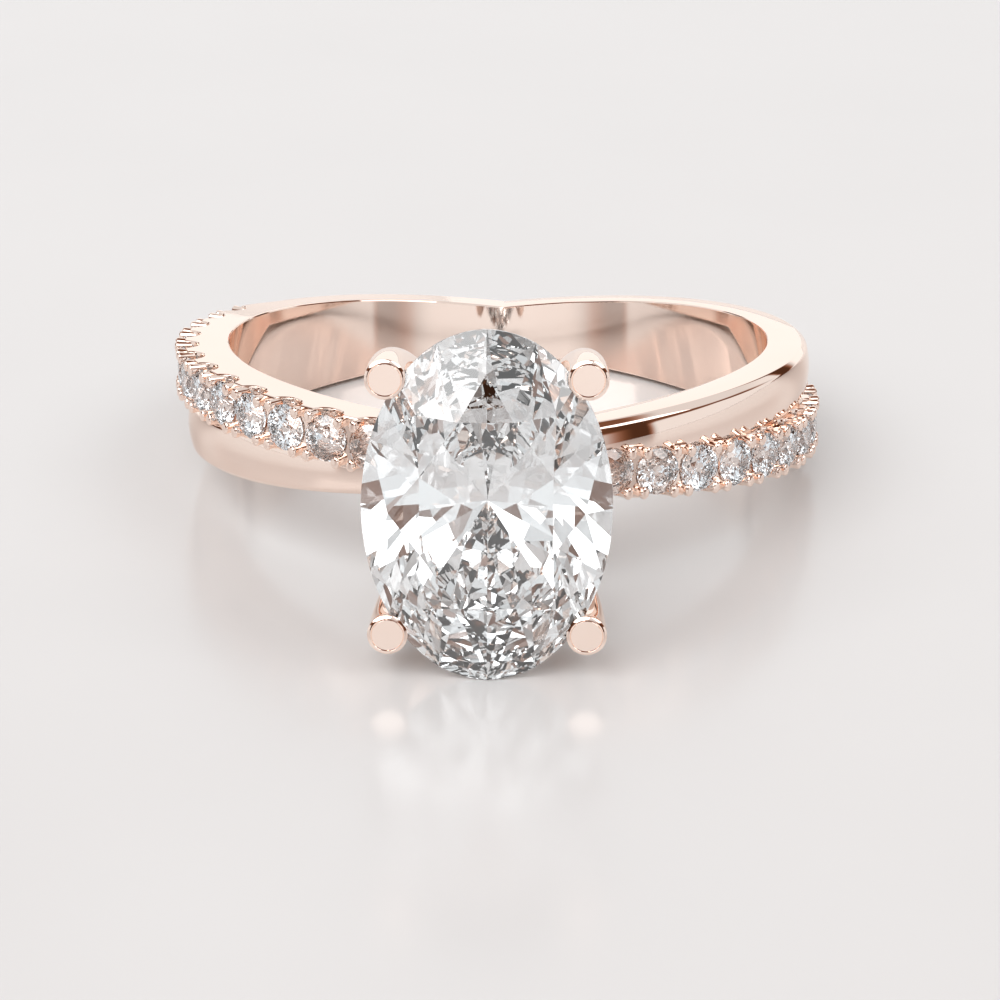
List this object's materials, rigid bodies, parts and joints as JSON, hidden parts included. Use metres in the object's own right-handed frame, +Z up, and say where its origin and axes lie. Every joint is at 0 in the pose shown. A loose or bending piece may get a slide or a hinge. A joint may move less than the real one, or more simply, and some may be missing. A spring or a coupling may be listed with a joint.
{
  "type": "pave ring with an oval centre stone",
  "caption": "Finger ring of two crossing metal strands, one polished and one pave set, with a large oval stone held up on a prong head.",
  "frame": {"origin": "middle of the finger hole, on its axis", "axes": "The ring lies on its side. +Z is up, -Y points from the finger hole to the head, and +X runs across the ring. The hole's axis leans from +Z by about 9 degrees towards +Y, because the ring rests on the lower edge of its band and on the end of its centre stone."},
  "size_m": [0.0208, 0.0257, 0.0099],
  "materials": {
    "rose_gold": "mirror polished rose gold",
    "centre_diamond": "colourless diamond, oval brilliant cut",
    "pave_diamond": "colourless diamond, round brilliant cut"
  },
  "bodies": {
    "root": {"mounting": "rose_gold", "centre_stone": "centre_diamond", "pave_stone_01": "pave_diamond", "pave_stone_02": "pave_diamond", "pave_stone_03": "pave_diamond", "pave_stone_04": "pave_diamond", "pave_stone_05": "pave_diamond", "pave_stone_06": "pave_diamond", "pave_stone_07": "pave_diamond", "pave_stone_08": "pave_diamond", "pave_stone_09": "pave_diamond", "pave_stone_10": "pave_diamond", "pave_stone_11": "pave_diamond", "pave_stone_12": "pave_diamond", "pave_stone_13": "pave_diamond", "pave_stone_14": "pave_diamond", "pave_stone_15": "pave_diamond", "pave_stone_16": "pave_diamond", "pave_stone_17": "pave_diamond", "pave_stone_18": "pave_diamond", "pave_stone_19": "pave_diamond", "pave_stone_20": "pave_diamond", "pave_stone_21": "pave_diamond", "pave_stone_22": "pave_diamond", "pave_stone_23": "pave_diamond", "pave_stone_24": "pave_diamond"}
  },
  "joints": []
}
